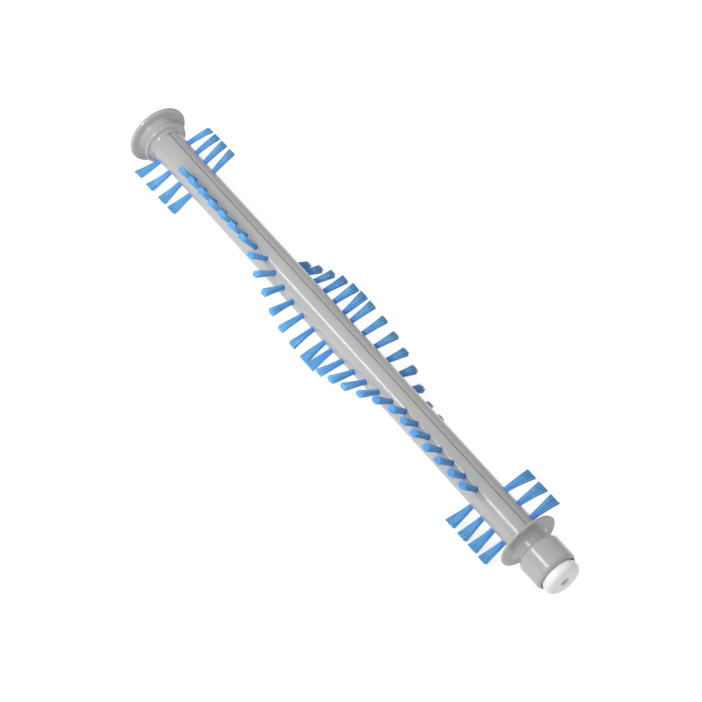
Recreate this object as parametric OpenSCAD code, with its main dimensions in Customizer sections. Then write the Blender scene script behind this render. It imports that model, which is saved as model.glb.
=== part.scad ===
// Roller brush of a vacuum cleaner head: a two-shell bar on a steel axle, with fanned tufts,
// a drive cap at the -X end and a ball bearing with a fixed end bush at the +X end.
// The spin axis is X and the origin lies on it, halfway along the roller.
// An angle around the bar is counted from straight up (+Z) towards the front (-Y).

/* [Roller] */
// Length from the face of the drive cap to the face of the end bush
overall_l = 294; // [284:1:304]
// Diameter of the bar between its flared ends
bar_d = 15.1; // [14.7:0.1:15.6]
// Diameter at the drive end, where the bar flares out to the cap
flare_far_d = 16; // [15.8:0.1:16.6]
// Diameter at the bearing end, where the bar flares out to the flange
flare_near_d = 15.5; // [15.3:0.1:16]
// Length of each flare
flare_l = 20; // [12:1:30]
// Width of the open seam line between the two shells
seam_w = 0.45; // [0.3:0.05:0.7]
// Depth of the open seam line
seam_depth = 0.8; // [0.5:0.1:1.2]
// Width of the notch where the seam meets the drive cap
notch_w = 1.3; // [0.9:0.1:1.6]
// Diameter of the steel axle
axle_d = 4; // [3.7:0.1:4.1]

/* [Tufts] */
// Diameter across the tips of the tufts
brush_d = 39.8; // [36:0.2:43]
// Diameter of a tuft where it leaves the bar
tuft_root_d = 2.4; // [2.1:0.1:2.6]
// Width of a fanned tuft at its tip, along the bar
tuft_tip_w = 4.3; // [3.6:0.1:5.2]
// Thickness of a fanned tuft, around the bar
tuft_tip_t = 3; // [2.6:0.1:3.4]
// Depth of a tuft hole below the bar's surface
hole_depth = 4.5; // [3.8:0.1:4.6]
// Distance from the drive end of the bar to the nearest tuft of the long rows
long_margin_far = 29.15; // [28:0.05:31]
// Distance from the bearing end of the bar to the nearest tuft of the long rows
long_margin_near = 28.15; // [27:0.05:30]
// Distance between the two tufts at the top of the wave
apex_gap = 5.4; // [5.4:0.1:6.4]
// Tufts of a long row on the longer side of its wave
long_count_a = 14; // [12:1:14]
// Tufts of a long row on the shorter side of its wave
long_count_b = 13; // [12:1:13]
// Steps over which a long row swings out to its wave
swing_steps = 6; // [5:1:7]
// Angle by which the wave swings out
swing_deg = 62; // [40:1:66]
// Roundness of the wave: 0 is a straight-sided chevron, 1 a quarter cosine
swing_round = 0.4; // [0:0.1:1]
// Shift of the back long row towards the bearing end
back_shift = 1.8; // [0:0.1:2.4]
// Distance between tufts of the tighter short rows
short_pitch_tight = 7; // [6.4:0.1:7.4]
// Distance between tufts of the wider short rows
short_pitch_wide = 8.3; // [7.6:0.1:8.4]
// Distance from the drive end of the bar to the upper short row
upper_margin_far = 7.5; // [6.5:0.1:8.5]
// Distance from the drive end of the bar to the lower short row
lower_margin_far = 2.3; // [2.1:0.1:3]
// Distance from the bearing end of the bar to the upper short row
upper_margin_near = 5.1; // [4.4:0.1:5.8]
// Distance from the bearing end of the bar to the lower short row
lower_margin_near = 6.5; // [5.8:0.1:7.2]

/* [Drive cap] */
// Diameter of the large disc
far_disc_d = 29.6; // [27:0.2:32]
// Thickness of the large disc
far_disc_t = 2.1; // [1.6:0.1:2.6]
// Diameter of the drum beside the disc
drum_d = 20.8; // [19:0.2:22]
// Length of the drive cap from its face to the bar
cap_l = 9.7; // [9.2:0.1:11]
// Height of the rounded bead above the drum
bead_h = 0.6; // [0.3:0.1:1]
// Distance across the flats of the hexagonal drive socket
hex_af = 9; // [8:0.2:9.6]
// Depth of the hexagonal drive socket behind its round lead-in
hex_depth = 2.4; // [1.8:0.1:2.6]
// Diameter of the round lead-in of the socket
lead_in_d = 11.2; // [11.2:0.1:13]
// Length of the round lead-in
lead_in_l = 1.8; // [1.4:0.1:2]

/* [Bearing end] */
// Diameter of the thin flange disc
near_disc_d = 27.6; // [25:0.2:30]
// Thickness of the thin flange disc
near_disc_t = 1.3; // [1:0.1:1.8]
// Diameter of the neck
neck_d = 15; // [14.6:0.1:16]
// Length of the neck
neck_l = 4.5; // [4.3:0.1:6]
// Radius of the fillet between disc and neck
neck_fillet_r = 2.5; // [1.5:0.1:2.8]
// Outer diameter of the bearing cup
cup_d = 19.4; // [19:0.1:21]
// Length of the bearing cup
cup_l = 13.7; // [13.4:0.1:16]
// Rounding of the cup's shoulder
cup_shoulder_r = 2.6; // [1.8:0.1:3]
// Rounding of the cup's mouth
cup_mouth_r = 1.8; // [1.2:0.1:1.9]
// Inner diameter of the cup
cup_bore_d = 17.1; // [17:0.1:17.5]
// Depth of the cup
cup_depth = 9.5; // [9.4:0.1:9.7]

/* [End bush] */
// Diameter of the bush's seat outside the cup
bush_d = 16.4; // [16.2:0.1:16.6]
// Length by which the bush stands out of the cup
bush_proud = 4.6; // [4.2:0.1:5.2]
// Radius of the bush's rounded nose
bush_nose_r = 2.2; // [1.4:0.1:2.4]
// Diameter of the skirt inside the cup
skirt_d = 15.6; // [15.4:0.1:15.8]
// Length of the skirt inside the cup
skirt_l = 7.5; // [7.1:0.1:7.6]
// Diameter of the hole in the bush's face
bush_hole_d = 4; // [3:0.1:5]
// Length of the hole in the bush's face
bush_hole_l = 3.4; // [2.8:0.1:3.6]
// Diameter of the hollow around the axle's end
hollow_d = 9.4; // [9.2:0.1:10]

/* [Ball bearing] */
// Outer diameter of the ball bearing
bearing_d = 13; // [12.8:0.1:13.2]
// Width of the ball bearing
bearing_w = 5; // [4.9:0.1:5.2]
// Diameter of a ball
ball_d = 2.3; // [2.2:0.05:2.35]
// Number of balls
ball_count = 7; // [6:1:8]
// Diameter of the land of the inner ring
inner_land_d = 6.7; // [6.5:0.1:6.9]
// Diameter of the land of the outer ring
outer_land_d = 10.3; // [10.1:0.1:10.5]
// Thickness of a shield
shield_t = 0.25; // [0.2:0.05:0.3]

/* [Fits] */
// Gap around a piece that is pressed or glued into its seat
seat_gap = 0.02; // [0.01:0.01:0.04]
// Gap between a tuft and the wall of its hole
tuft_gap = 0.05; // [0.03:0.01:0.08]
// Running gap between a ball and its track
ball_gap = 0.05; // [0.03:0.01:0.08]

/* [Hidden] */
$fn = 96;
eps = 0.01;
// Length by which a cut runs past the surface that it opens
over = 1;
// Side of the block that halves the bar
long_reach = 400;
// Facets of the tufts and their holes, of the pegs, and of the balls
tuft_fn = 32;
peg_fn = 24;
ball_fn = 48;

// Colours of the finishes
grey = [0.70, 0.70, 0.69];
blue = [0.22, 0.58, 0.96];
white = [0.90, 0.90, 0.89];
steel = [0.72, 0.73, 0.75];
brass_tone = [0.75, 0.62, 0.35];
black = [0.10, 0.10, 0.11];
cage_tone = [0.80, 0.74, 0.60];

// Stations along the axis
x_face = -overall_l / 2;
x_bar_far = x_face + cap_l;
x_tip = overall_l / 2;
x_mouth = x_tip - bush_proud;
x_cup = x_mouth - cup_l;
x_disc = x_cup - neck_l;
x_bar_near = x_disc - near_disc_t;
x_floor = x_mouth - cup_depth;

// Bar, its spigots in the two end pieces, and the keys that hold the shells together
bar_r = bar_d / 2;
spigot_r = 5.8;
spigot_flat = 5;
spigot_l = 3.4;
pocket_end_gap = 0.1;
peg_r = 0.9;
peg_l = 2.4;
peg_offset = (bar_r + axle_d / 2) / 2;
notch_l = 1;
peg_steps = [3.5, 8.5, 11.5];

// Tuft field
long_start_x = x_bar_far + long_margin_far;
long_end_x = x_bar_near - long_margin_near;
field_x = (long_start_x + long_end_x) / 2;
row_angle = 45;
row_half = (long_end_x - long_start_x) / 2;
long_pitch = (2 * row_half - apex_gap) / (long_count_a + long_count_b - 2);
apex_a = (long_count_a - 1) * long_pitch - row_half;
apex_b = row_half - (long_count_b - 1) * long_pitch;
short_count = 4;
short_count_upper_near = 3;
tip_z = brush_d / 2;
fan_z = max(flare_far_d, flare_near_d, bar_d) / 2;
hole_r = tuft_root_d / 2 + tuft_gap;
hole_floor_z = bar_r - hole_depth;
anchor_t = 0.4;
anchor_h = 1.4;
anchor_w = 1.8 * tuft_root_d / 2;
anchor_slot_gap = 0.05;

// Bearing, set in the bush from its open side
bearing_out = 1.5;
x_bearing = x_mouth - bearing_out - bearing_w / 2;
x_bearing_in = x_bearing - bearing_w / 2;
x_bearing_out = x_bearing + bearing_w / 2;
ball_pitch_r = (axle_d + bearing_d) / 4;
track_r = ball_d / 2 + ball_gap;
cage_back = 1.9;
cage_front = 0.55;
pocket_r = ball_d / 2 + 0.1;
shield_lap = 0.2;
shield_gap = 0.2;
cage_gap = 0.4;
cage_in_r = inner_land_d / 2 + cage_gap;
cage_out_r = outer_land_d / 2 - cage_gap;
hub_r = inner_land_d / 2 - 0.15;
clip_t = 0.5;
clip_groove_gap = 0.03;
clip_groove_depth = 0.45;
clip_r = 3.2;
clip_mouth = 3;
axle_end_chamfer = 0.3;
x_clip = x_bearing_out + 0.05;
x_axle_far = x_bar_far - spigot_l;
x_axle_near = x_clip + clip_t + 0.8;
felt_t = 1.6;
felt_in_gap = 0.2;
felt_out_gap = 0.25;
boss_r = 4.5;
boss_flat = 3.8;
boss_l = 1.4;

// Angle that a long row's tuft has swung out by, n steps from the top of its wave
function swing(n) =
    let (u = min(n / swing_steps, 1))
    swing_deg * ((1 - swing_round) * (1 - u) + swing_round * cos(90 * u));

// Places of tufts as [distance from the field's middle, angle around the bar]
function side_a(first, last) =
    [for (i = [first : last]) [apex_a - i * long_pitch, row_angle + swing(i)]];
function side_b(first, last) =
    [for (i = [first : last]) [apex_b + i * long_pitch, row_angle + swing(i)]];
function short_row(outer_x, pitch, count, angle) =
    [for (i = [0 : count - 1]) [outer_x - field_x + i * pitch, angle]];
// The back row is the front row turned half round the bar, mirrored end for end and shifted
function opposite(places) = [for (p = places) [back_shift - p[0], p[1] + 180]];

wave_last = swing_steps;
front_far = side_a(wave_last + 1, long_count_a - 1);
front_wave_far = side_a(0, wave_last);
front_wave_near = side_b(0, wave_last - 1);
front_near = side_b(wave_last, long_count_b - 1);
back_near = opposite(front_far);
back_wave_near = opposite(front_wave_far);
back_wave_far = opposite(front_wave_near);
back_far = opposite(front_near);
upper_angle = row_angle - 90;
lower_angle = row_angle + 90;
upper_far = short_row(x_bar_far + upper_margin_far, short_pitch_tight, short_count, upper_angle);
lower_far = short_row(x_bar_far + lower_margin_far, short_pitch_wide, short_count, lower_angle);
upper_near =
    short_row(x_bar_near - upper_margin_near, -short_pitch_wide, short_count_upper_near, upper_angle);
lower_near = short_row(x_bar_near - lower_margin_near, -short_pitch_tight, short_count, lower_angle);
front_places = concat(front_far, front_wave_far, front_wave_near, front_near, lower_far, lower_near);
back_places = concat(back_far, back_wave_far, back_wave_near, back_near, upper_far, upper_near);

// Turns a profile of [radius, place along X] round the spin axis
module turned() {
    rotate([0, 90, 0]) rotate_extrude() children();
}

// A rod along X from x0 to x1
module rod_x(r, x0, x1) {
    translate([x0, 0, 0]) rotate([0, 90, 0]) cylinder(r = r, h = x1 - x0);
}

// Puts a child that stands on the axis along +Z at each place of the tuft field
module at_places(places) {
    for (p = places)
        translate([field_x + p[0], 0, 0]) rotate([p[1], 0, 0]) children();
}

// Round rod with two flats, which keys a spigot or boss into its seat
module keyed_rod(r, flat, x0, x1) {
    intersection() {
        rod_x(r, x0, x1);
        translate([x0 - eps, -r - eps, -flat]) cube([x1 - x0 + 2 * eps, 2 * r + 2 * eps, 2 * flat]);
    }
}

// Outer form of the bar: straight in the middle, flared at both ends
module bar_form() {
    turned() polygon([
        [0, x_bar_far], [flare_far_d / 2, x_bar_far], [bar_r, x_bar_far + flare_l],
        [bar_r, x_bar_near - flare_l], [flare_near_d / 2, x_bar_near], [0, x_bar_near]
    ]);
    keyed_rod(spigot_r, spigot_flat, x_bar_far - spigot_l, x_bar_far + eps);
    keyed_rod(spigot_r, spigot_flat, x_bar_near - eps, x_bar_near + spigot_l);
}

// Blind hole of one tuft
module tuft_hole() {
    translate([0, 0, hole_floor_z]) cylinder(r = hole_r, h = fan_z - hole_floor_z + over, $fn = tuft_fn);
}

// One half of the bar: side -1 is the front shell, +1 the back shell
module bar_half(side) {
    intersection() {
        bar_form();
        translate([-long_reach / 2, side > 0 ? 0 : -long_reach, -long_reach / 2])
            cube([long_reach, long_reach, long_reach]);
    }
}

// A slot along the seam of width w and length l from the drive end, at the top and the bottom of the bar
module seam_slot(w, l) {
    for (s = [-1, 1])
        translate([x_bar_far, -w / 2, s > 0 ? bar_r - seam_depth : -bar_r - over])
            cube([l, w, seam_depth + over]);
}

// Open line along the seam and its notch at the drive cap, cut half into each shell
module seam_cut() {
    seam_slot(seam_w, x_bar_near - x_bar_far);
    seam_slot(notch_w, notch_l);
}

// Places along the seam of the pegs, each midway between two tuft holes
peg_places = concat(
    [for (n = peg_steps) field_x - apex_a + n * long_pitch],
    [for (n = peg_steps) field_x - apex_b - n * long_pitch]
);

module pegs(extra) {
    for (x = peg_places, s = [-1, 1])
        translate([x, -extra, s * peg_offset]) rotate([-90, 0, 0])
            cylinder(r = peg_r + extra, h = peg_l + 2 * extra, $fn = peg_fn);
}

module bar_shell_front() {
    color(grey) {
        difference() {
            bar_half(-1);
            rod_x(axle_d / 2 + seat_gap, x_axle_far - over, x_bar_near + spigot_l + over);
            at_places(front_places) tuft_hole();
            seam_cut();
        }
        pegs(0);
    }
}

module bar_shell_back() {
    color(grey) difference() {
        bar_half(1);
        rod_x(axle_d / 2 + seat_gap, x_axle_far - over, x_bar_near + spigot_l + over);
        at_places(back_places) tuft_hole();
        seam_cut();
        pegs(seat_gap);
    }
}

// One tuft: a straight root in its hole and a fan above the bar, flat where it was trimmed
module tuft() {
    difference() {
        intersection() {
            union() {
                translate([0, 0, hole_floor_z + eps])
                    cylinder(r = tuft_root_d / 2, h = fan_z - hole_floor_z, $fn = tuft_fn);
                translate([0, 0, fan_z])
                    cylinder(r1 = tuft_root_d / 2, r2 = tuft_tip_w / 2, h = tip_z - fan_z, $fn = tuft_fn);
            }
            translate([-tuft_tip_w, -tuft_tip_t / 2, 0]) cube([2 * tuft_tip_w, tuft_tip_t, tip_z + over]);
        }
        translate([-anchor_t / 2 - anchor_slot_gap, -tuft_root_d, hole_floor_z - over])
            cube([anchor_t + 2 * anchor_slot_gap, 2 * tuft_root_d, anchor_h + anchor_slot_gap + over]);
    }
}

// Metal plate that pins the folded tuft to the floor of its hole
module anchor() {
    translate([-anchor_t / 2, -anchor_w / 2, hole_floor_z + eps]) cube([anchor_t, anchor_w, anchor_h]);
}

module tuft_row(places) { color(blue) at_places(places) tuft(); }
module anchor_row(places) { color(brass_tone) at_places(places) anchor(); }

module axle() {
    color(steel) difference() {
        turned() polygon([
            [0, x_axle_far], [axle_d / 2 - axle_end_chamfer, x_axle_far],
            [axle_d / 2, x_axle_far + axle_end_chamfer], [axle_d / 2, x_axle_near - axle_end_chamfer],
            [axle_d / 2 - axle_end_chamfer, x_axle_near], [0, x_axle_near]
        ]);
        turned() translate([axle_d / 2 - clip_groove_depth, x_clip - clip_groove_gap])
            square([clip_groove_depth + over, clip_t + 2 * clip_groove_gap]);
    }
}

// Disc with a fully rounded rim, in the profile plane
module disc_profile(d, t, x0) {
    translate([0, x0]) square([d / 2 - t / 2, t]);
    translate([d / 2 - t / 2, x0 + t / 2]) circle(d = t);
}

// Profile of the drive cap's outside: disc, drum that widens to its bead, and dished end
module cap_profile() {
    bead_r = 0.8;
    dish_r = 2;
    dish_sink = 0.5;
    root_fillet = 0.6;
    drum_r = drum_d / 2;
    drum_core_r = drum_r - 1;
    flare_start_x = x_face + far_disc_t + 2.6;
    core_start_x = x_face + far_disc_t + 2;
    bead_x = x_bar_far - dish_r + dish_sink - bead_r;
    bead_centre_r = drum_r + bead_h - bead_r;
    dish_centre_r = flare_far_d / 2 + dish_r;
    difference() {
        union() {
            disc_profile(far_disc_d, far_disc_t, x_face);
            translate([0, x_face]) square([drum_r, bead_x - x_face]);
            translate([0, x_face + far_disc_t - eps]) square([drum_r + root_fillet, root_fillet + eps]);
            translate([bead_centre_r, bead_x]) circle(r = bead_r);
            translate([0, bead_x - eps]) square([bead_centre_r, x_bar_far - bead_x + eps]);
            polygon([
                [drum_core_r, core_start_x], [drum_r, flare_start_x],
                [drum_r + bead_h, bead_x], [drum_core_r, bead_x]
            ]);
        }
        translate([drum_r + root_fillet, x_face + far_disc_t + root_fillet]) circle(r = root_fillet);
        translate([dish_centre_r, bead_x + bead_r + dish_r]) circle(r = dish_r);
        translate([dish_centre_r, bead_x + bead_r]) square([far_disc_d, x_bar_far - bead_x]);
    }
}

module drive_end_cap() {
    color(grey) difference() {
        turned() cap_profile();
        rod_x(lead_in_d / 2, x_face - over, x_face + lead_in_l);
        translate([x_face, 0, 0]) rotate([0, 90, 0])
            cylinder(r = hex_af / 2 / cos(30), h = lead_in_l + hex_depth, $fn = 6);
        keyed_rod(spigot_r + seat_gap, spigot_flat + seat_gap,
            x_bar_far - spigot_l - pocket_end_gap, x_bar_far + over);
    }
}

module near_flange() {
    color(grey) difference() {
        turned() difference() {
            union() {
                disc_profile(near_disc_d, near_disc_t, x_bar_near);
                translate([0, x_bar_near]) square([neck_d / 2, near_disc_t + neck_l - seat_gap]);
                translate([0, x_disc - eps]) square([neck_d / 2 + neck_fillet_r, neck_fillet_r + eps]);
            }
            translate([neck_d / 2 + neck_fillet_r, x_disc + neck_fillet_r]) circle(r = neck_fillet_r);
        }
        keyed_rod(spigot_r + seat_gap, spigot_flat + seat_gap,
            x_bar_near - over, x_bar_near + spigot_l + pocket_end_gap);
        rod_x(axle_d / 2 + seat_gap, x_bar_near, x_cup + over);
        keyed_rod(boss_r + seat_gap, boss_flat + seat_gap,
            x_cup - boss_l - pocket_end_gap, x_cup + over);
    }
}

module bearing_cup() {
    r = cup_d / 2;
    color(grey) difference() {
        union() {
            turned() {
                translate([0, x_cup + cup_shoulder_r])
                    square([r, cup_l - cup_shoulder_r - cup_mouth_r]);
                translate([0, x_cup]) square([r - cup_shoulder_r, cup_l - eps]);
                intersection() {
                    translate([r - cup_shoulder_r, x_cup + cup_shoulder_r]) circle(r = cup_shoulder_r);
                    translate([0, x_cup]) square([r, cup_shoulder_r + eps]);
                }
                intersection() {
                    translate([r - cup_mouth_r, x_mouth - cup_mouth_r]) circle(r = cup_mouth_r);
                    translate([0, x_mouth - cup_mouth_r - eps]) square([r, cup_mouth_r + eps]);
                }
            }
            keyed_rod(boss_r, boss_flat, x_cup - boss_l, x_cup + eps);
        }
        turned() translate([0, x_floor]) difference() {
            square([cup_bore_d / 2, cup_depth + over]);
            translate([0, -over]) square([hub_r, x_bearing_in - x_floor + over - seat_gap]);
        }
        rod_x(axle_d / 2 + seat_gap, x_cup - boss_l - over, x_mouth);
    }
}

// Ring of the bearing between two radii, with the ball track cut into it
module bearing_ring(r_in, r_out) {
    color(steel) turned() difference() {
        translate([r_in, x_bearing_in]) square([r_out - r_in, bearing_w]);
        translate([ball_pitch_r, x_bearing]) circle(r = track_r);
    }
}

module bearing_inner_ring() { bearing_ring(axle_d / 2 + seat_gap, inner_land_d / 2); }

module bearing_outer_ring() {
    color(steel) difference() {
        bearing_ring(outer_land_d / 2, bearing_d / 2);
        for (s = [-1, 1]) turned()
            translate([0, x_bearing + s * (bearing_w / 2 - shield_t) - (s > 0 ? 0 : over)])
                square([outer_land_d / 2 + shield_lap, over]);
    }
}

module at_balls() {
    for (i = [0 : ball_count - 1])
        translate([x_bearing, 0, 0]) rotate([360 * i / ball_count, 0, 0])
            translate([0, 0, ball_pitch_r]) children();
}

module bearing_balls() {
    color(steel) at_balls() sphere(d = ball_d, $fn = ball_fn);
}

module bearing_cage() {
    color(cage_tone) difference() {
        turned() translate([cage_in_r, x_bearing - cage_back])
            square([cage_out_r - cage_in_r, cage_back + cage_front]);
        at_balls() sphere(r = pocket_r, $fn = ball_fn);
    }
}

// Shield that closes one face of the bearing: side -1 inboard, +1 outboard
module shield(side) {
    x0 = side > 0 ? x_bearing_out - shield_t : x_bearing_in;
    color(steel) turned() translate([inner_land_d / 2 + shield_gap, x0])
        square([(outer_land_d - inner_land_d) / 2 + shield_lap - shield_gap - seat_gap, shield_t]);
}

// Open clip that snaps into the groove at the axle's end
module axle_clip() {
    color(steel) difference() {
        turned() translate([axle_d / 2 - clip_groove_depth + seat_gap, x_clip])
            square([clip_r - axle_d / 2 + clip_groove_depth - seat_gap, clip_t]);
        translate([x_clip - over, -clip_mouth / 2, -clip_r - over])
            cube([clip_t + 2 * over, clip_mouth, clip_r + over]);
    }
}

module felt_washer() {
    color(black) turned() translate([hub_r + felt_in_gap, x_floor + seat_gap])
        square([cup_bore_d / 2 - felt_out_gap - hub_r - felt_in_gap, felt_t]);
}

module end_bush() {
    seat_start = 0.3;
    hole_chamfer = 0.35;
    color(white) turned() difference() {
        union() {
            translate([0, x_mouth - skirt_l]) square([skirt_d / 2, skirt_l + bush_proud / 2]);
            translate([0, x_mouth + seat_start])
                square([bush_d / 2, bush_proud - seat_start - bush_nose_r]);
            translate([0, x_mouth]) square([bush_d / 2 - bush_nose_r, bush_proud]);
            intersection() {
                translate([bush_d / 2 - bush_nose_r, x_tip - bush_nose_r]) circle(r = bush_nose_r);
                translate([0, x_tip - bush_nose_r - eps]) square([bush_d, bush_nose_r + eps]);
            }
        }
        translate([0, x_mouth - skirt_l - over])
            square([bearing_d / 2 + seat_gap, skirt_l + over - bearing_out + seat_gap]);
        translate([0, x_mouth - bearing_out])
            square([hollow_d / 2, bearing_out + bush_proud - bush_hole_l]);
        translate([0, x_mouth]) square([bush_hole_d / 2, bush_proud + over]);
        polygon([
            [0, x_tip - hole_chamfer - bush_hole_d / 2], [0, x_tip + over],
            [bush_hole_d / 2 + hole_chamfer + over, x_tip + over]
        ]);
    }
}

drive_end_cap();
bar_shell_front();
bar_shell_back();
axle();
near_flange();
bearing_cup();
tuft_row(front_far);  // tufts_front_far
tuft_row(front_wave_far);  // tufts_front_wave_far
tuft_row(front_wave_near);  // tufts_front_wave_near
tuft_row(front_near);  // tufts_front_near
tuft_row(back_far);  // tufts_back_far
tuft_row(back_wave_far);  // tufts_back_wave_far
tuft_row(back_wave_near);  // tufts_back_wave_near
tuft_row(back_near);  // tufts_back_near
tuft_row(upper_far);  // tufts_upper_far
tuft_row(lower_far);  // tufts_lower_far
tuft_row(upper_near);  // tufts_upper_near
tuft_row(lower_near);  // tufts_lower_near
anchor_row(front_places);  // anchors_front
anchor_row(back_places);  // anchors_back
bearing_inner_ring();
bearing_outer_ring();
bearing_balls();
bearing_cage();
shield(-1);  // shield_inboard
shield(1);  // shield_outboard
axle_clip();
felt_washer();
end_bush();
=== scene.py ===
import math
import random

import bpy
import numpy as np
from mathutils import Matrix, Vector


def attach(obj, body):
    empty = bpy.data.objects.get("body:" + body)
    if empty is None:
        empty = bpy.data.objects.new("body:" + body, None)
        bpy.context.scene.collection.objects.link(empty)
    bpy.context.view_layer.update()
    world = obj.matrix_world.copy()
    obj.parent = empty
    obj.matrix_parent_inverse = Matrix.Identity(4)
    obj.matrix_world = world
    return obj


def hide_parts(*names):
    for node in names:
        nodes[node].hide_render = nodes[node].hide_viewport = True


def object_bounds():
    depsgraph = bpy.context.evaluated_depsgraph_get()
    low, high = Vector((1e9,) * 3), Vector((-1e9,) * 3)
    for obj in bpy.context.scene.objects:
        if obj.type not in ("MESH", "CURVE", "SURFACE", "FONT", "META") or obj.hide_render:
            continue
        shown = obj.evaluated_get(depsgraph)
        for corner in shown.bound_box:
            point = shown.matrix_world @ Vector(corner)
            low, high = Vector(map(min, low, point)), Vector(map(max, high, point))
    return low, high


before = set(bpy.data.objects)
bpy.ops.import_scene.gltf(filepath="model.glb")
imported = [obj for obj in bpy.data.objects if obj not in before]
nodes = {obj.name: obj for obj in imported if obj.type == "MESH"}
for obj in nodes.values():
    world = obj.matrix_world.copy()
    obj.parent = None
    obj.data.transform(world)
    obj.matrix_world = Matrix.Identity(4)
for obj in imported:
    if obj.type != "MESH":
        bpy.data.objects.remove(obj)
cad_low, cad_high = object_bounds()
MM = 0.001


# Node helpers


class Tree:
    """A short way to write a node tree."""

    def __init__(self, tree):
        self.tree = tree

    def add(self, kind, inputs=None, **settings):
        node = self.tree.nodes.new(kind)
        for name, value in settings.items():
            setattr(node, name, value)
        for name, value in (inputs or {}).items():
            if isinstance(value, bpy.types.NodeSocket):
                self.tree.links.new(value, node.inputs[name])
            else:
                node.inputs[name].default_value = value
        return node

    def math(self, operation, a, b=0.0, c=0.0):
        node = self.add("ShaderNodeMath", operation=operation)
        for socket, value in zip(node.inputs, (a, b, c)):
            if isinstance(value, bpy.types.NodeSocket):
                self.tree.links.new(value, socket)
            else:
                socket.default_value = value
        return node.outputs[0]

    def mix(self, factor, a, b):
        node = self.add("ShaderNodeMix", data_type="RGBA")
        for socket, value in ((node.inputs[0], factor), (node.inputs[6], a), (node.inputs[7], b)):
            if isinstance(value, bpy.types.NodeSocket):
                self.tree.links.new(value, socket)
            else:
                socket.default_value = value
        return node.outputs[2]

    def ramp(self, value, low, high, to_low=0.0, to_high=1.0):
        node = self.add(
            "ShaderNodeMapRange",
            {"Value": value, "From Min": low, "From Max": high, "To Min": to_low, "To Max": to_high},
            clamp=True,
        )
        return node.outputs[0]

    def coordinates(self, scale=(1.0, 1.0, 1.0)):
        source = self.add("ShaderNodeTexCoord").outputs["Object"]
        return self.add("ShaderNodeMapping", {"Vector": source, "Scale": scale}).outputs[0]

    def noise(self, where, scale, detail=2.0, roughness=0.5):
        node = self.add(
            "ShaderNodeTexNoise",
            {"Vector": where, "Scale": scale, "Detail": detail, "Roughness": roughness},
        )
        return node.outputs[0]


def new_material(name):
    material = bpy.data.materials.new(name)
    material.use_nodes = True
    material.node_tree.nodes.clear()
    tree = Tree(material.node_tree)
    output = tree.add("ShaderNodeOutputMaterial")
    shader = tree.add("ShaderNodeBsdfPrincipled")
    tree.tree.links.new(shader.outputs[0], output.inputs["Surface"])
    return material, tree, shader


def connect(tree, value, socket):
    tree.tree.links.new(value, socket)


def rounded_normal(tree, radius, height, distance):
    """Normal with softly rounded edges and a fine surface relief."""
    bevel = tree.add("ShaderNodeBevel", {"Radius": radius}, samples=6)
    bump = tree.add("ShaderNodeBump", {"Height": height, "Distance": distance, "Strength": 1.0})
    connect(tree, bevel.outputs[0], bump.inputs["Normal"])
    return bump.outputs[0]


# Materials


def moulded_plastic(name, colour, roughness, wave):
    """Injection-moulded plastic: faint flow mottling, fine texture and slow sink waves along the part."""
    material, tree, shader = new_material(name)
    along = tree.coordinates((1.0, 0.45, 0.45))
    everywhere = tree.coordinates()
    slow = tree.noise(along, 140.0, 1.0)
    fine = tree.noise(everywhere, 2600.0, 3.0)
    tint = tree.ramp(tree.noise(everywhere, 60.0, 4.0, 0.6), 0.3, 0.7)
    darker = [c * 0.965 for c in colour[:3]] + [1.0]
    lighter = [min(1.0, c * 1.03) for c in colour[:3]] + [1.0]
    connect(tree, tree.mix(tint, darker, lighter), shader.inputs["Base Color"])
    rough = tree.ramp(tree.noise(everywhere, 300.0, 3.0), 0.3, 0.7, roughness - 0.04, roughness + 0.05)
    connect(tree, rough, shader.inputs["Roughness"])
    height = tree.math("MULTIPLY_ADD", fine, 0.012, tree.math("MULTIPLY", slow, wave))
    connect(tree, rounded_normal(tree, 0.00028, height, 0.001), shader.inputs["Normal"])
    shader.inputs["IOR"].default_value = 1.58
    return material


def metal(name, colour, roughness, brushed):
    """Bare metal with fine marks: turned all the way round, or none in one direction."""
    material, tree, shader = new_material(name)
    where = tree.coordinates(brushed)
    marks = tree.noise(where, 1800.0, 3.0)
    stain = tree.ramp(tree.noise(tree.coordinates(), 220.0, 4.0), 0.3, 0.7)
    darker = [c * 0.86 for c in colour[:3]] + [1.0]
    connect(tree, tree.mix(stain, darker, colour), shader.inputs["Base Color"])
    connect(tree, tree.ramp(marks, 0.2, 0.8, roughness - 0.07, roughness + 0.1), shader.inputs["Roughness"])
    connect(tree, rounded_normal(tree, 0.0001, marks, 0.00002), shader.inputs["Normal"])
    shader.inputs["Metallic"].default_value = 1.0
    return material


def felt_material():
    material, tree, shader = new_material("felt_black")
    where = tree.coordinates()
    fibre = tree.noise(where, 4000.0, 5.0, 0.7)
    mottle = tree.ramp(fibre, 0.3, 0.7)
    connect(tree, tree.mix(mottle, (0.012, 0.012, 0.014, 1), (0.05, 0.05, 0.055, 1)), shader.inputs["Base Color"])
    shader.inputs["Roughness"].default_value = 0.95
    connect(tree, rounded_normal(tree, 0.0001, fibre, 0.0002), shader.inputs["Normal"])
    return material


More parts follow.
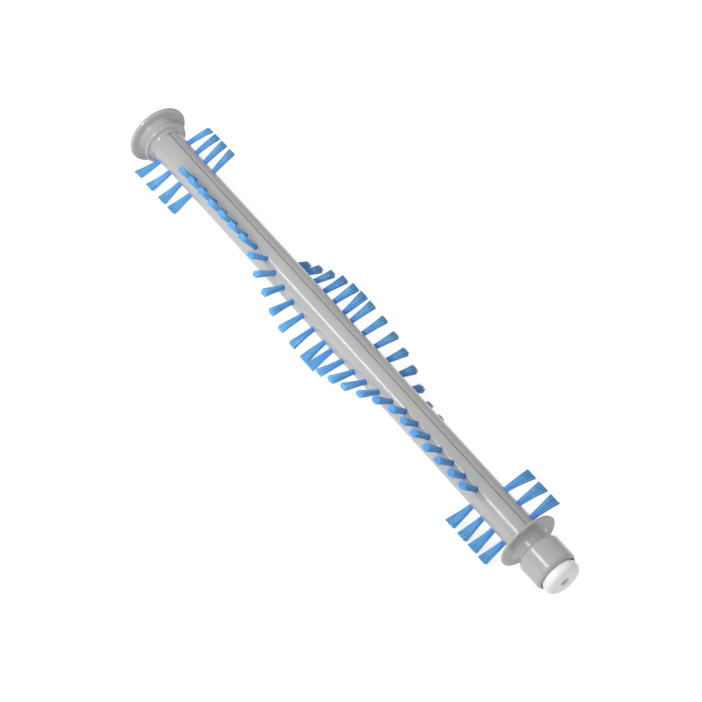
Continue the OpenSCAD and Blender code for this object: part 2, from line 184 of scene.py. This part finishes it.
def nylon(name):
    """Dyed nylon filament: each filament a little lighter or darker, with painted shade near its root and a painted
    highlight towards its tip.
    """
    material, tree, shader = new_material(name)
    facts = tree.add("ShaderNodeAttribute", attribute_name="filament")
    parts = tree.add("ShaderNodeSeparateXYZ", {"Vector": facts.outputs["Vector"]})
    along, own = parts.outputs[0], parts.outputs[1]
    grain = tree.noise(tree.coordinates(), 900.0, 2.0)
    # root is a painted shade colour for the shaded bases and light is a painted highlight colour for the lit tips;
    # body is the nylon's own blue
    root = (0.045, 0.260, 1.000, 1.0)
    body = (0.120, 0.500, 1.000, 1.0)
    light = (0.280, 0.670, 1.000, 1.0)
    # Painted shade from the root up to the body colour, then per filament a random share of a painted highlight
    # towards the tip
    shaded_root_ramp = tree.mix(tree.ramp(along, 0.0, 0.55), root, body)
    tone_with_painted_light = tree.mix(tree.math("MULTIPLY", own, 0.75), shaded_root_ramp, tree.mix(tree.ramp(along, 0.0, 0.7), body, light))
    # Random grain flecks lift the colour a little towards the painted highlight colour
    tone_with_painted_light = tree.mix(tree.ramp(grain, 0.35, 0.7, 0.0, 0.12), tone_with_painted_light, light)
    connect(tree, tone_with_painted_light, shader.inputs["Base Color"])
    connect(tree, tree.ramp(grain, 0.3, 0.7, 0.34, 0.46), shader.inputs["Roughness"])
    shader.inputs["IOR"].default_value = 1.53
    # Light lies pale along the thin filaments' sides
    shader.inputs["Sheen Weight"].default_value = 0.3
    shader.inputs["Sheen Roughness"].default_value = 0.5
    shader.inputs["Sheen Tint"].default_value = (0.55, 0.75, 1.0, 1.0)
    return material


grey_plastic = moulded_plastic("grey_plastic", (0.455, 0.455, 0.444, 1.0), 0.15, 0.012)
white_plastic = moulded_plastic("white_plastic", (0.920, 0.915, 0.895, 1.0), 0.36, 0.01)
cage_plastic = moulded_plastic("cage_plastic", (0.60, 0.52, 0.36, 1.0), 0.42, 0.02)
ground_steel = metal("ground_steel", (0.58, 0.59, 0.61, 1.0), 0.24, (0.2, 1.0, 1.0))
axle_metal = metal("axle_metal", (0.52, 0.53, 0.55, 1.0), 0.32, (3.0, 0.2, 0.2))
anchor_metal = metal("anchor_metal", (0.62, 0.48, 0.24, 1.0), 0.35, (1.0, 1.0, 1.0))
black_felt = felt_material()
blue_nylon = nylon("blue_nylon")

FINISHES = {
    "drive_end_cap": (grey_plastic, "bar_plastic"),
    "bar_shell_front": (grey_plastic, "bar_plastic"),
    "bar_shell_back": (grey_plastic, "bar_plastic"),
    "near_flange": (grey_plastic, "bar_plastic"),
    "bearing_cup": (grey_plastic, "bar_plastic"),
    "end_bush": (white_plastic, "bush_plastic"),
    "axle": (axle_metal, "axle_steel"),
    "axle_clip": (ground_steel, "bearing_steel"),
    "bearing_inner_ring": (ground_steel, "bearing_steel"),
    "bearing_outer_ring": (ground_steel, "bearing_steel"),
    "bearing_balls": (ground_steel, "bearing_steel"),
    "shield_inboard": (ground_steel, "bearing_steel"),
    "shield_outboard": (ground_steel, "bearing_steel"),
    "bearing_cage": (cage_plastic, "cage_plastic"),
    "anchors_front": (anchor_metal, "anchor_wire"),
    "anchors_back": (anchor_metal, "anchor_wire"),
    "felt_washer": (black_felt, "felt"),
}
for name, (material, slot) in FINISHES.items():
    nodes[name].data.materials.clear()
    nodes[name].data.materials.append(material)


# Tufts: bunches of filaments in place of the plain fans


BAR_FAR, BAR_NEAR = -137.3, 122.9
LONG_START, LONG_END, APEX_GAP, BACK_SHIFT = BAR_FAR + 29.15, BAR_NEAR - 28.15, 5.4, 1.8
PITCH = (LONG_END - LONG_START - APEX_GAP) / 25
FIELD = (LONG_START + LONG_END) / 2
HALF = (LONG_END - LONG_START) / 2
APEX_A, APEX_B = 13 * PITCH - HALF, HALF - 12 * PITCH
ROW_ANGLE, SWING, ROUND, STEPS = 45.0, 62.0, 0.4, 6
ROOT_RADIUS, TIP_RADIUS = 6.6, 19.88
ROOT_HALF, TIP_HALF_AROUND = 1.06, 1.42
FILAMENTS, FILAMENT_RADIUS, SEGMENTS = 120, 0.125, 3


def swing(n):
    u = min(n / STEPS, 1.0)
    return SWING * ((1 - ROUND) * (1 - u) + ROUND * math.cos(math.pi / 2 * u))


# Each tuft's tip: lean as millimetres along the bar and degrees around it, and width in millimetres
TIPS_A = [(0.9, 2.3, 4.7), (0.8, 2.9, 4.0), (0.3, 4.5, 3.5), (0.8, 3.6, 3.4), (0.9, 1.0, 3.5), (0.2, 3.4, 3.0),
          (0.0, 3.4, 3.0), (-1.4, -4.2, 3.0), (-1.6, -4.5, 3.2), (-1.7, -4.7, 3.2), (-1.5, -4.4, 3.3),
          (-1.6, -4.7, 3.3), (-1.6, -4.6, 3.3), (-1.2, -4.7, 3.2)]
TIPS_B = [(0.3, 1.6, 4.7), (-0.7, -3.1, 3.7), (-0.6, -5.0, 3.7), (-0.9, -4.2, 3.5), (-0.1, -4.0, 3.2),
          (-0.2, -3.0, 3.4), (0.6, 1.7, 3.3), (0.2, 0.8, 3.3), (-0.7, 1.5, 3.3), (0.0, 2.2, 3.4), (-0.2, 2.1, 3.4),
          (0.0, 0.5, 3.4), (-0.6, 0.4, 3.5)]
TIPS_BACK_A = [(-0.1, 3.2, 4.2), (0.6, 5.5, 3.8), (0.4, 4.6, 3.8), (0.2, 4.9, 3.9), (0.1, 5.8, 3.9),
               (-0.1, 5.5, 3.8), (0.0, 10.0, 3.6), (0.0, 8.5, 3.6)]
TIPS_BACK_B = [(-0.2, 6.7, 4.6), (0.9, 8.0, 4.3), (0.6, 7.1, 4.0), (-0.1, 3.8, 3.6), (0.2, 3.7, 3.6), (1.3, 5.3, 3.4)]
TIPS_UPPER_FAR = [(5.2, 0.0, 3.0), (2.0, -6.0, 3.0), (-0.4, -9.0, 3.6), (-1.3, -9.0, 3.2)]
TIPS_LOWER_FAR = [(-4.0, -3.5, 4.3), (-2.2, -5.5, 4.6), (-1.4, -2.3, 4.6), (-2.8, 0.0, 4.8)]
TIPS_UPPER_NEAR = [(1.2, -6.4, 5.4), (2.1, -6.9, 5.6), (2.9, -8.0, 5.4)]
TIPS_LOWER_NEAR = [(-1.4, -2.4, 4.5), (-1.3, -0.5, 5.1), (-1.0, -0.5, 5.2), (-1.9, -0.7, 5.3)]


def tip_of(tips, i, chance):
    if i < len(tips):
        return tips[i]
    return chance.uniform(-0.8, 0.8), chance.uniform(0.6, 3.5), chance.uniform(3.3, 4.3)


chance = random.Random(11)
front_a = [(APEX_A - i * PITCH, ROW_ANGLE + swing(i), *tip_of(TIPS_A, i, chance)) for i in range(14)]
front_b = [(APEX_B + i * PITCH, ROW_ANGLE + swing(i), *tip_of(TIPS_B, i, chance)) for i in range(13)]
back_a = [
    (BACK_SHIFT - x, angle + 180, *tip_of(TIPS_BACK_A, i, chance)) for i, (x, angle, *_) in enumerate(front_a)
]
back_b = [
    (BACK_SHIFT - x, angle + 180, *tip_of(TIPS_BACK_B, i, chance)) for i, (x, angle, *_) in enumerate(front_b)
]


def short_row(outer, pitch, count, angle, tips):
    return [(outer - FIELD + i * pitch, angle, *tips[i]) for i in range(count)]


TUFTS = {
    "tufts_front_wave_far": front_a[:7],
    "tufts_front_far": front_a[7:],
    "tufts_front_wave_near": front_b[:6],
    "tufts_front_near": front_b[6:],
    "tufts_back_wave_near": back_a[:7],
    "tufts_back_near": back_a[7:],
    "tufts_back_wave_far": back_b[:6],
    "tufts_back_far": back_b[6:],
    "tufts_upper_far": short_row(BAR_FAR + 7.5, 7.0, 4, ROW_ANGLE - 90, TIPS_UPPER_FAR),
    "tufts_lower_far": short_row(BAR_FAR + 2.3, 8.3, 4, ROW_ANGLE + 90, TIPS_LOWER_FAR),
    "tufts_upper_near": short_row(BAR_NEAR - 5.1, -8.3, 3, ROW_ANGLE - 90, TIPS_UPPER_NEAR),
    "tufts_lower_near": short_row(BAR_NEAR - 6.5, -7.0, 4, ROW_ANGLE + 90, TIPS_LOWER_NEAR),
}


def filament_paths(seed, lean_along, lean_around, tip_width):
    """Centre lines of a tuft's filaments, in millimetres, with the tuft standing along +Z."""
    rng = np.random.default_rng(seed)
    n = FILAMENTS
    turn = np.arange(n) * 2.399963
    spread = np.sqrt((np.arange(n) + 0.5) / n)
    ux, uy = spread * np.cos(turn), spread * np.sin(turn)
    root = np.stack([ux * ROOT_HALF, uy * ROOT_HALF, np.full(n, ROOT_RADIUS)], 1)
    jitter = rng.normal(0, 0.05, (n, 2))
    half_along = tip_width / 2
    half_around = TIP_HALF_AROUND * rng.uniform(0.88, 1.0)
    # The round bunch is pressed into a flat fan by the brush's wear
    square = np.maximum(np.abs(ux), np.abs(uy)) / np.maximum(spread, 1e-6)
    reach = 1 / np.maximum(square, 0.72)
    along = np.clip(ux * reach + jitter[:, 0], -1, 1) * half_along
    around = np.clip(uy * reach + jitter[:, 1], -1, 1) * half_around
    tilt = math.radians(lean_around)
    height = TIP_RADIUS - 0.12 - rng.uniform(0, 0.22, n)
    tip = np.stack([along + lean_along, around * math.cos(tilt) - height * math.sin(tilt),
                    height * math.cos(tilt) + around * math.sin(tilt)], 1)
    # The filaments bow slightly: they leave the hole straight and then spread
    paths = []
    for k in range(SEGMENTS + 1):
        u = k / SEGMENTS
        share = 0.72 * u + 0.28 * u * u
        point = root + (tip - root) * np.array([share, share, 0])[None, :]
        point[:, 2] = root[:, 2] + (tip[:, 2] - root[:, 2]) * u
        paths.append(point)
    return np.stack(paths, 1), rng.uniform(0, 1, n)


def add_tufts(name, tufts):
    corners, faces, facts = [], [], []
    sides = 3
    ring = [(math.cos(2 * math.pi * k / sides), math.sin(2 * math.pi * k / sides)) for k in range(sides)]
    for index, (x, angle, lean_along, lean_around, tip_width) in enumerate(tufts):
        seed = sum(map(ord, name)) * 31 + index
        paths, own = filament_paths(seed, lean_along, lean_around, tip_width)
        psi = math.radians(angle)
        out = np.array([0.0, -math.sin(psi), math.cos(psi)])
        side = np.array([0.0, math.cos(psi), math.sin(psi)])
        step = np.array([1.0, 0.0, 0.0])
        place = np.array([FIELD + x, 0.0, 0.0])
        for path, mark in zip(paths, own):
            start = len(corners)
            turn = mark * 6.283
            for k, (px, py, pz) in enumerate(path):
                centre = place + step * px + side * py + out * pz
                for cx, cy in ring:
                    dx = cx * math.cos(turn) - cy * math.sin(turn)
                    dy = cx * math.sin(turn) + cy * math.cos(turn)
                    corners.append((centre + (step * dx + side * dy) * FILAMENT_RADIUS) * MM)
                    facts.append((k / SEGMENTS, mark, 0.0))
            for k in range(SEGMENTS):
                for j in range(sides):
                    a, b = start + k * sides + j, start + k * sides + (j + 1) % sides
                    faces.append((a, b, b + sides, a + sides))
            top = start + SEGMENTS * sides
            faces.append(tuple(range(top, top + sides)))
    mesh = bpy.data.meshes.new(name + "_filaments")
    mesh.from_pydata([tuple(c) for c in corners], [], faces)
    mesh.attributes.new("filament", "FLOAT_VECTOR", "POINT")
    mesh.attributes["filament"].data.foreach_set("vector", np.array(facts, np.float32).ravel())
    mesh.materials.append(blue_nylon)
    mesh.shade_smooth()
    piece = bpy.data.objects.new(name + "_filaments", mesh)
    bpy.context.scene.collection.objects.link(piece)
    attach(piece, "roller")
    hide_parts(name)
    return piece


for name, tufts in TUFTS.items():
    add_tufts(name, tufts)


# Camera, as fitted to the photo's bar, discs and tufts

scene = bpy.context.scene
FOCAL_PIXELS, PICTURE_PIXELS = 2114.6, 702
UNIT = 0.4281 * MM
TILT, AROUND, ROLL = math.radians(27.81), math.radians(31.5), -0.0011
PICTURE_ALONG, PICTURE_ACROSS = Vector((0.67347, 0.73921)), Vector((0.73921, -0.67347))
axis = Vector((1, 0, 0))
across = Vector((0, math.cos(AROUND), math.sin(AROUND)))
facing = Vector((0, -math.sin(AROUND), math.cos(AROUND)))
along = math.cos(TILT) * axis - math.sin(TILT) * facing
towards = math.sin(TILT) * axis + math.cos(TILT) * facing
picture_t = PICTURE_ALONG * math.cos(ROLL) + PICTURE_ACROSS * math.sin(ROLL)
picture_w = PICTURE_ACROSS * math.cos(ROLL) - PICTURE_ALONG * math.sin(ROLL)
right = along * picture_t.x + across * picture_w.x
up = -(along * picture_t.y + across * picture_w.y)
location = axis * 5.557 * MM - across * 3.089 * UNIT + towards * FOCAL_PIXELS * UNIT

camera_data = bpy.data.cameras.new("camera")
camera_data.sensor_width = 36.0
camera_data.lens = 36.0 * FOCAL_PIXELS / PICTURE_PIXELS
camera_data.clip_start = 0.05
camera_data.clip_end = 20.0
camera = bpy.data.objects.new("camera", camera_data)
scene.collection.objects.link(camera)
turned = Matrix((right, up, towards)).transposed().to_4x4()
camera.matrix_world = Matrix.Translation(location) @ turned
scene.camera = camera


# Floor and light


def area_light(name, place, target, size, power):
    data = bpy.data.lights.new(name, "AREA")
    data.shape = "RECTANGLE"
    data.size, data.size_y = size
    data.energy = power
    light = bpy.data.objects.new(name, data)
    scene.collection.objects.link(light)
    back = (Vector(place) - Vector(target)).normalized()
    side = axis - back * axis.dot(back)
    side.normalize()
    upward = back.cross(side)
    pose = Matrix((side, upward, back)).transposed().to_4x4()
    light.matrix_world = Matrix.Translation(Vector(place)) @ pose
    return light


floor_mesh = bpy.data.meshes.new("floor")
reach = 4.0
floor_z = cad_low.z
floor_mesh.from_pydata(
    [(-reach, -reach, floor_z), (reach, -reach, floor_z), (reach, reach, floor_z), (-reach, reach, floor_z)],
    [],
    [(0, 1, 2, 3)],
)
floor = bpy.data.objects.new("floor", floor_mesh)
scene.collection.objects.link(floor)
floor_material, floor_tree, floor_shader = new_material("floor_pale")
# Seen directly, mirrored or through glass the floor is white, with a pale shadow
light_path = floor_tree.add("ShaderNodeLightPath")
rays = [light_path.outputs[kind] for kind in ("Is Camera Ray", "Is Glossy Ray", "Is Transmission Ray")]
seen = floor_tree.math("MINIMUM", floor_tree.math("ADD", floor_tree.math("ADD", rays[0], rays[1]), rays[2]), 1.0)
floor_shader.inputs["Base Color"].default_value = (0.82, 0.82, 0.82, 1)
floor_shader.inputs["Emission Color"].default_value = (1.0, 1.0, 1.0, 1)
connect(floor_tree, floor_tree.math("MULTIPLY", seen, 0.62), floor_shader.inputs["Emission Strength"])
floor_shader.inputs["Roughness"].default_value = 1.0
floor_shader.inputs["Specular IOR Level"].default_value = 0.0
floor_mesh.materials.append(floor_material)

world = bpy.data.worlds.new("studio")
world.use_nodes = True
world.node_tree.nodes.clear()
world_tree = Tree(world.node_tree)
background = world_tree.add("ShaderNodeBackground", {"Color": (1.0, 1.0, 1.0, 1.0), "Strength": 0.51})
world_output = world_tree.add("ShaderNodeOutputWorld")
connect(world_tree, background.outputs[0], world_output.inputs[0])
scene.world = world

area_light("key_strip", (-0.045, -0.20, 0.20), (-0.045, -0.004, 0.006), (0.36, 0.055), 0.55)
area_light("soft_front", (0.35, -0.60, 0.40), (0.12, 0, 0), (0.6, 0.6), 0.75)

scene.view_settings.view_transform = "Standard"
